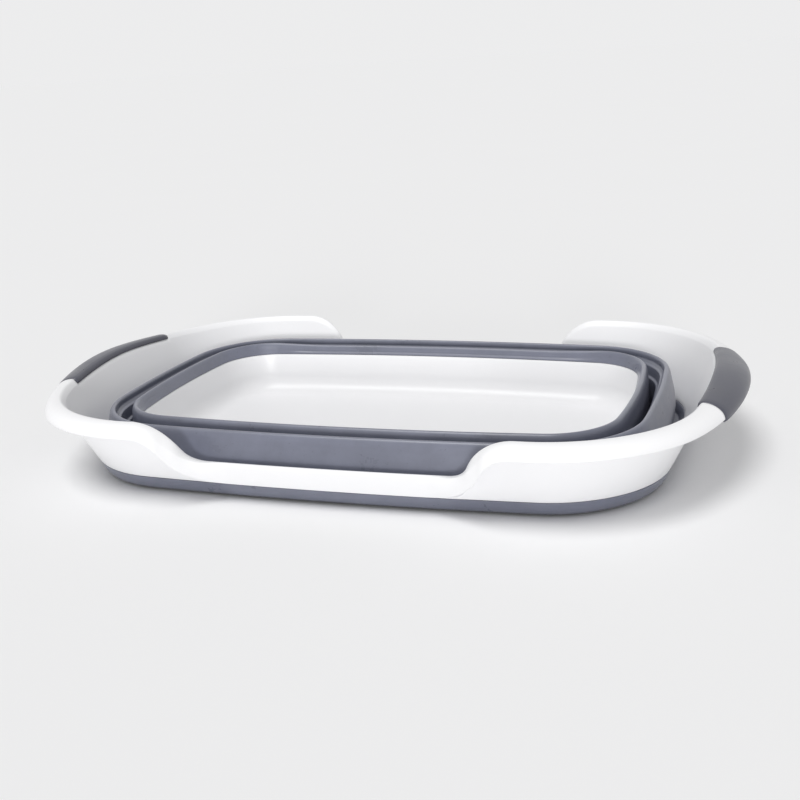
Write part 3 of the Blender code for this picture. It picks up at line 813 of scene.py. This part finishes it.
def grown_by_nodes(name, mesh, tree, values, material):
    """Run a mesh through a Geometry Nodes tree and keep the result as a plain mesh."""
    source = bpy.data.objects.new(name + "_source", mesh)
    bpy.context.scene.collection.objects.link(source)
    modifier = source.modifiers.new("nodes", "NODES")
    modifier.node_group = tree
    sockets = {item.name: item.identifier for item in tree.interface.items_tree
               if item.in_out == "INPUT"}
    for label, value in values.items():
        modifier[sockets[label]] = value
    bpy.context.view_layer.update()
    graph = bpy.context.evaluated_depsgraph_get()
    made = bpy.data.meshes.new_from_object(source.evaluated_get(graph), depsgraph=graph)
    source.modifiers.remove(modifier)
    bpy.data.objects.remove(source, do_unlink=True)
    if not made.polygons:
        raise RuntimeError(f"the nodes made nothing for {name}")
    shape = bmesh.new()
    shape.from_mesh(made)
    bmesh.ops.remove_doubles(shape, verts=shape.verts, dist=MERGE_DISTANCE)
    face_outwards(shape)
    shape.to_mesh(made)
    shape.free()
    made.name = name
    return shown(name, made, material)


def ring_mesh(name, places):
    """A closed line of vertices and edges."""
    mesh = bpy.data.meshes.new(name)
    count = len(places)
    mesh.from_pydata(places, [(i, (i + 1) % count) for i in range(count)], [])
    return mesh


def swept_wall(name, outline, section, crisp, material):
    """Sweep a section, given as distance outside an outline and height, round that outline.

    Its corners are rounded, the crisp ones hardly. The path's frame points inwards and down, so
    the section is drawn with both signs turned.
    """
    rounded = softened(section, dict.fromkeys(crisp, CRISP_EDGE), FOLD_EDGE_STEPS)
    path = ring_mesh(name + "_path", [at(station, 0.0, 0.0) for station in path_stations(outline)])
    drawing = bpy.data.objects.new(name + "_section", ring_mesh(
        name + "_section", [(-distance, -height, 0.0) for distance, height in rounded]))
    bpy.context.scene.collection.objects.link(drawing)
    thing = grown_by_nodes(name, path, sweep_tree(), {
        "Section": drawing, "Section Scale": 1.0, "Finish": material}, material)
    bpy.data.objects.remove(drawing, do_unlink=True)
    return thing


def sag_rear(thing):
    """Let the inner crest hang a little lower along the rear side, most at its top."""
    for vertex in thing.data.vertices:
        side = smooth((vertex.co.y - SAG_FROM) / SAG_FADE)
        middle = 1 - smooth((abs(vertex.co.x) - SAG_HALF_LENGTH) / SAG_LENGTH_FADE)
        height = smooth((vertex.co.z - STAND_HEIGHT - SAG_FOOT) / (INNER_FOLD_TOP - SAG_FOOT))
        vertex.co.z -= SAG * side * middle * height


class BasinSizes(PropertyGroup):
    """Sizes of the basin's thin parts."""

    frame_wall: FloatProperty(name="Frame wall", description="Thickness of the hard rim frame",
                              default=0.0025, min=0.001, max=0.005, unit="LENGTH")
    edge: FloatProperty(name="Moulded edge", description="Rounding of the moulded edges",
                        default=0.0006, min=0.0001, max=0.001, unit="LENGTH")
    pad_radius: FloatProperty(name="Pad radius", description="Radius of each foot pad",
                              default=0.0140, min=0.005, max=0.03, unit="LENGTH")
    pad_sides: IntProperty(name="Pad sides", description="Number of sides of each foot pad",
                           default=64, min=12, max=128)


class BasinFinish(PropertyGroup):
    """Colours of the basin's materials."""

    white: FloatVectorProperty(name="White", description="Hard white plastic", subtype="COLOR",
                               size=3, default=(0.900, 0.900, 0.912), min=0.0, max=1.0)
    grey: FloatVectorProperty(name="Grey", description="Soft grey elastomer", subtype="COLOR",
                              size=3, default=(0.143, 0.152, 0.201), min=0.0, max=1.0)
    grip: FloatVectorProperty(name="Grip grey", description="Grips' elastomer", subtype="COLOR",
                              size=3, default=(0.070, 0.072, 0.094), min=0.0, max=1.0)
    pad: FloatVectorProperty(name="Pad grey", description="Foot pads' elastomer", subtype="COLOR",
                             size=3, default=(0.12, 0.125, 0.14), min=0.0, max=1.0)


class BasinStage(PropertyGroup):
    """Floor, backdrop and light of the studio."""

    floor: FloatVectorProperty(name="Floor", description="Colour of the floor", subtype="COLOR",
                               size=3, default=(0.915, 0.915, 0.92), min=0.0, max=1.0)
    backdrop: FloatVectorProperty(name="Backdrop", description="What the camera sees behind",
                                  subtype="COLOR", size=3, default=(0.843, 0.843, 0.848),
                                  min=0.0, max=1.0)
    sky: FloatProperty(name="Sky light", description="Strength of the even studio light",
                       default=0.485, min=0.0, max=2.0)
    top: FloatProperty(name="Top light", description="Strength of the wide light overhead",
                       default=1.34, min=0.0, max=5.0)
    front: FloatProperty(name="Front light", description="Strength of the low light in front",
                         default=1.16, min=0.0, max=5.0)


class BasinOperator:
    """What the basin's operators share."""

    bl_options = {"REGISTER", "UNDO"}

    def sizes(self, context):
        return context.scene.basin_sizes

    def finish(self, context):
        return context.scene.basin_finish


class BASIN_OT_rim_frame(BasinOperator, Operator):
    """Make the hard white rim frame with its rolled lip and its dips."""

    bl_idname = "basin.rim_frame"
    bl_label = "Rim Frame"

    def execute(self, context):
        sizes = self.sizes(context)
        rows = []
        for station in rim_stations():
            shape = RimShape(station, sizes)
            recess = GRIP_RECESS if station.recessed else 0.0
            rows.append([at(station, *point) for point in shape.section(recess, sizes.edge)])
        thing = mesh_piece("rim_frame_shell", lambda shape: loft(shape, rows),
                           glossy_white(self.finish(context)))
        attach(thing, "rim")
        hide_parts("rim_frame")
        return {"FINISHED"}


class BASIN_OT_handle_grips(BasinOperator, Operator):
    """Make the soft grips over the rolled lip at both ends."""

    bl_idname = "basin.handle_grips"
    bl_label = "Handle Grips"

    def execute(self, context):
        for name, node, side in (("grip_left", "left_handle_grip", -1),
                                 ("grip_right", "right_handle_grip", 1)):
            thing = self.grip(name, side, self.sizes(context), self.finish(context))
            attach(thing, "rim")
            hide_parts(node)
        return {"FINISHED"}

    def grip(self, name, side, sizes, finish):
        chosen = [s for s in rim_stations() if s.recessed and s.point.x * side > 0]
        chosen.sort(key=lambda s: s.point.y)
        rows = []
        for i, station in enumerate(chosen):
            shrink = sizes.edge if i in (0, len(chosen) - 1) else 0.0
            section = RimShape(station, sizes).grip_section(shrink, sizes.edge)
            rows.append([at(station, *point) for point in section])

        def build(shape):
            made = loft(shape, rows, closed_round=False)
            for row in (made[0], made[-1]):
                shape.faces.new(row)

        return mesh_piece(name, build, satin_grey("grip_grey", finish.grip, 0.0))


class BASIN_OT_base_band(BasinOperator, Operator):
    """Make the soft band that closes the frame's foot, just clear of the floor."""

    bl_idname = "basin.base_band"
    bl_label = "Base Band"

    def execute(self, context):
        edge = self.sizes(context).edge
        rows = []
        for station in rim_stations():
            outer = reach(OUTER_CREST, station) + OUTER_FOOT_OUTSET + FOLD_WALL / 2
            inner = outer - FOLD_WALL
            points = [
                *BAND_OUTER_FACE, (inner + BAND_FOOT_EDGE, 0.0), (inner, BAND_FOOT_EDGE),
                (inner, BAND_INNER_HEIGHT), (outer, BAND_INNER_HEIGHT), (outer, BAND_FLOOR),
                *BAND_INNER_FACE,
            ]
            cuts = {0: edge, len(points) - 1: edge}
            rows.append([at(station, *point) for point in softened(points, cuts, BAND_EDGE_STEPS)])
        thing = mesh_piece("base_band_soft", lambda shape: loft(shape, rows),
                           satin_grey("satin_grey", self.finish(context).grey, FOLD_COAT))
        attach(thing, "rim")
        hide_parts("frame_base_band")
        return {"FINISHED"}


class BASIN_OT_folding_wall(BasinOperator, Operator):
    """Make the soft folding wall: two fold walls, the ledge ring and the tray's collar."""

    bl_idname = "basin.folding_wall"
    bl_label = "Folding Wall"

    def execute(self, context):
        grey = satin_grey("satin_grey", self.finish(context).grey, FOLD_COAT)
        ledge = swept_wall("ledge_ring", OUTER_CREST, LEDGE_SECTION, LEDGE_CRISP, grey)
        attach(ledge, "fold_ring")
        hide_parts("ledge_wall")
        collar = swept_wall("tray_collar_soft", INNER_CREST, COLLAR_SECTION, COLLAR_CRISP, grey)
        sag_rear(collar)
        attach(collar, "tray")
        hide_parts("tray_collar")
        gutter = self.gutter(grey)
        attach(gutter, "fold_ring")
        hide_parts("lower_fold_gutter")
        outer = swept_wall("outer_fold_soft", OUTER_CREST, OUTER_FOLD_SECTION, OUTER_FOLD_CRISP,
                           grey)
        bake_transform(outer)
        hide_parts("outer_fold_wall", "outer_crest_bead")
        inner = swept_wall("inner_fold_soft", INNER_CREST, INNER_FOLD_SECTION, INNER_FOLD_CRISP,
                           grey)
        sag_rear(inner)
        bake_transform(inner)
        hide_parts("inner_fold_wall", "inner_crest_bead")
        return {"FINISHED"}

    def gutter(self, grey):
        """The U-shaped fold between the ledge wall's foot and the inner fold's foot."""
        rows = []
        for station in path_stations(HEM):
            outer = reach(OUTER_CREST, station) - LEDGE_FOOT_INSET + FOLD_WALL / 2
            inner = reach(INNER_CREST, station) + INNER_FOOT_OUTSET - FOLD_WALL / 2
            middle = (outer + inner) / 2
            side_low, middle_low = GUTTER_UNDERSIDE
            side_high, middle_high = GUTTER_INSIDE
            points = [
                (outer, GUTTER_TOP), (outer, side_low), (middle, middle_low), (inner, side_low),
                (inner, GUTTER_TOP), (inner + FOLD_WALL, GUTTER_TOP),
                (inner + FOLD_WALL, side_high), (middle, middle_high),
                (outer - FOLD_WALL, side_high), (outer - FOLD_WALL, GUTTER_TOP),
            ]
            cuts = dict.fromkeys(GUTTER_CRISP, GUTTER_EDGE)
            rows.append([at(station, *point) for point in softened(points, cuts, BAND_EDGE_STEPS)])
        return mesh_piece("gutter_soft", lambda shape: loft(shape, rows), grey)


class BASIN_OT_tray(BasinOperator, Operator):
    """Make the hard white tray that is the open basin's floor."""

    bl_idname = "basin.tray"
    bl_label = "Tray"

    def execute(self, context):
        stations = path_stations(INNER_CREST)
        inside = self.face(0.0, self.sizes(context).edge)
        outside = self.face(TRAY_WALL, self.sizes(context).edge)[::-1]
        rows = [[at(station, *point) for point in outside + inside] for station in stations]

        def build(shape):
            made = loft(shape, rows, closed_section=False)
            self.close(shape, [row[0] for row in made])
            self.close(shape, [row[-1] for row in made])

        thing = mesh_piece("tray_pan", build, glossy_white(self.finish(context)))
        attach(thing, "tray")
        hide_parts("base_tray")
        return {"FINISHED"}

    def face(self, skin, edge):
        """One face of the tray, from its rim down to the edge of its flat floor."""
        rim = -TRAY_RIM_INSET + skin
        centre = -TRAY_RIM_INSET - TRAY_DRAFT - TRAY_FILLET
        fillet_height = TRAY_FLOOR + TRAY_FILLET
        radius = TRAY_FILLET + skin
        inwards = edge if skin == 0.0 else -edge
        points = [(rim + inwards, TRAY_RIM_HEIGHT),
                  (rim + inwards * BEVEL_SHARE, TRAY_RIM_HEIGHT - edge * BEVEL_SHARE),
                  (rim, TRAY_RIM_HEIGHT - edge)]
        for step in range(1, TRAY_WALL_STEPS):
            share = step / TRAY_WALL_STEPS
            points.append((rim - TRAY_DRAFT * share,
                           mix(TRAY_RIM_HEIGHT - edge, fillet_height, share)))
        for step in range(TRAY_FILLET_STEPS + 1):
            turn = math.pi / 2 * step / TRAY_FILLET_STEPS
            points.append((centre + radius * math.cos(turn),
                           fillet_height - radius * math.sin(turn)))
        return points

    def close(self, shape, ring):
        """Fill a ring with smaller rings down to a pole in its middle."""
        height = ring[0].co.z
        last = ring
        for share in TRAY_RING_SHARES:
            following = [shape.verts.new((v.co.x * (1 - share), v.co.y * (1 - share), height))
                         for v in ring]
            join(shape, last, following, len(ring))
            last = following
        pole = shape.verts.new((0.0, 0.0, height))
        for i in range(len(ring)):
            shape.faces.new((last[i], last[(i + 1) % len(ring)], pole))


class BASIN_OT_foot_pads(BasinOperator, Operator):
    """Make the four foot pads under the tray."""

    bl_idname = "basin.foot_pads"
    bl_label = "Foot Pads"

    def execute(self, context):
        sizes = self.sizes(context)
        boxes = [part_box("foot_pad_front_left"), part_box("foot_pad_rear_right")]
        middles = [[(low + high) / 2 for low, high in zip(*box)] for box in boxes]
        height = boxes[0][1][2]
        radius = sizes.pad_radius
        edge = sizes.edge
        bend_at = BEVEL_SHARE * edge
        face = [(radius - edge, 0.0), (radius - bend_at, bend_at), (radius, edge),
                (radius, height - edge), (radius - edge, height)]
        turns = [2 * math.pi * i / sizes.pad_sides for i in range(sizes.pad_sides)]
        rows = [[(r * math.cos(turn), r * math.sin(turn), z) for r, z in face] for turn in turns]

        def build(shape):
            made = loft(shape, rows, closed_section=False)
            for ring in ([row[0] for row in made], [row[-1] for row in made]):
                shape.faces.new(ring)

        material = pad_grey(self.finish(context))
        thing = grown_by_nodes("foot_pads", closed_mesh("pad", build), pad_tree(), {
            "Pitch X": middles[1][0] - middles[0][0], "Pitch Y": middles[1][1] - middles[0][1],
            "Finish": material}, material)
        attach(thing, "tray")
        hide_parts("foot_pad_front_left", "foot_pad_front_right",
                    "foot_pad_rear_left", "foot_pad_rear_right")
        return {"FINISHED"}


class BASIN_OT_stage(BasinOperator, Operator):
    """Set the floor, the studio light and the photograph's camera."""

    bl_idname = "basin.stage"
    bl_label = "Stage"

    def execute(self, context):
        look = context.scene.basin_stage
        self.floor(look)
        self.sky(context, look)
        self.lamp(context, "top_light", look.top, *TOP_LAMP)
        self.lamp(context, "front_light", look.front, *FRONT_LAMP)
        self.camera(context)
        context.scene.view_settings.view_transform = "Standard"
        return {"FINISHED"}

    def floor(self, look):
        shape = bmesh.new()
        bmesh.ops.create_circle(shape, cap_ends=True, segments=FLOOR_SIDES,
                                radius=FLOOR_RADIUS)
        mesh = bpy.data.meshes.new("studio_floor")
        shape.to_mesh(mesh)
        shape.free()
        thing = shown("studio_floor", mesh, floor_white(look))

    def sky(self, context, look):
        """Even light, and a pale backdrop for camera and reflections."""
        world = bpy.data.worlds.new("studio")
        context.scene.world = world
        world.use_nodes = True
        world.node_tree.nodes.clear()
        wiring = Wiring(world.node_tree)
        path = world.node_tree.nodes.new("ShaderNodeLightPath")
        rays = [Wire(wiring, path.outputs[name])
                for name in ("Is Camera Ray", "Is Glossy Ray", "Is Transmission Ray")]
        seen = wiring.add("ShaderNodeMath", {"operation": "ADD", "use_clamp": True},
                          {0: rays[0] + rays[1], 1: rays[2]})
        even = wiring.add("ShaderNodeBackground", {}, {"Color": (1.0, 1.0, 1.0, 1.0),
                                                       "Strength": look.sky})
        backdrop = wiring.add("ShaderNodeBackground", {}, {"Color": (*look.backdrop, 1.0),
                                                           "Strength": 1.0})
        chosen = wiring.add("ShaderNodeMixShader", {}, {0: seen, 1: even, 2: backdrop})
        output = world.node_tree.nodes.new("ShaderNodeOutputWorld")
        world.node_tree.links.new(chosen.socket, output.inputs["Surface"])

    def lamp(self, context, name, strength, width, heading):
        """A soft lamp, as wide as the angle in degrees, that shines along the heading."""
        light = bpy.data.lights.new(name, "SUN")
        light.energy = strength
        light.angle = math.radians(width)
        lamp = bpy.data.objects.new(name, light)
        lamp.rotation_euler = Vector(heading).to_track_quat("-Z", "Y").to_euler()
        context.scene.collection.objects.link(lamp)

    def camera(self, context):
        cos_pitch = math.cos(CAMERA_PITCH)
        forward = Vector((math.sin(CAMERA_YAW) * cos_pitch, math.cos(CAMERA_YAW) * cos_pitch,
                          -math.sin(CAMERA_PITCH)))
        level = Vector((math.cos(CAMERA_YAW), -math.sin(CAMERA_YAW), 0.0))
        upright = level.cross(forward)
        c = math.cos(CAMERA_ROLL)
        s = math.sin(CAMERA_ROLL)
        right = level * c + upright * s
        up = upright * c - level * s
        place = Vector(CAMERA_TARGET) - forward * CAMERA_DISTANCE
        turn = Matrix((right, up, -forward)).transposed().to_4x4()
        lens = bpy.data.cameras.new("photo_camera")
        lens.lens = CAMERA_LENS
        lens.sensor_width = CAMERA_SENSOR
        lens.clip_start = CAMERA_NEAR
        camera = bpy.data.objects.new("photo_camera", lens)
        camera.matrix_world = Matrix.Translation(place) @ turn
        context.scene.collection.objects.link(camera)
        context.scene.camera = camera


OPERATORS = (BASIN_OT_rim_frame, BASIN_OT_handle_grips, BASIN_OT_base_band,
             BASIN_OT_folding_wall, BASIN_OT_tray, BASIN_OT_foot_pads, BASIN_OT_stage)


class BASIN_PT_panel(Panel):
    """Lists the basin's pieces and values."""

    bl_idname = "BASIN_PT_panel"
    bl_label = "Collapsible Wash Basin"
    bl_space_type = "VIEW_3D"
    bl_region_type = "UI"
    bl_category = "Wash Basin"

    def draw(self, context):
        layout = self.layout
        for operator in OPERATORS:
            layout.operator(operator.bl_idname)
        for values in (context.scene.basin_sizes, context.scene.basin_finish,
                       context.scene.basin_stage):
            for name in values.__annotations__:
                layout.prop(values, name)


CLASSES = (BasinSizes, BasinFinish, BasinStage, *OPERATORS, BASIN_PT_panel)


def register():
    for each in CLASSES:
        bpy.utils.register_class(each)
    bpy.types.Scene.basin_sizes = PointerProperty(type=BasinSizes)
    bpy.types.Scene.basin_finish = PointerProperty(type=BasinFinish)
    bpy.types.Scene.basin_stage = PointerProperty(type=BasinStage)


def unregister():
    del bpy.types.Scene.basin_stage
    del bpy.types.Scene.basin_finish
    del bpy.types.Scene.basin_sizes
    for each in reversed(CLASSES):
        bpy.utils.unregister_class(each)


def main():
    register()
    bpy.ops.basin.rim_frame()
    bpy.ops.basin.handle_grips()
    bpy.ops.basin.base_band()
    bpy.ops.basin.folding_wall()
    bpy.ops.basin.tray()
    bpy.ops.basin.foot_pads()
    bpy.ops.basin.stage()


if __name__ == "__main__":
    main()
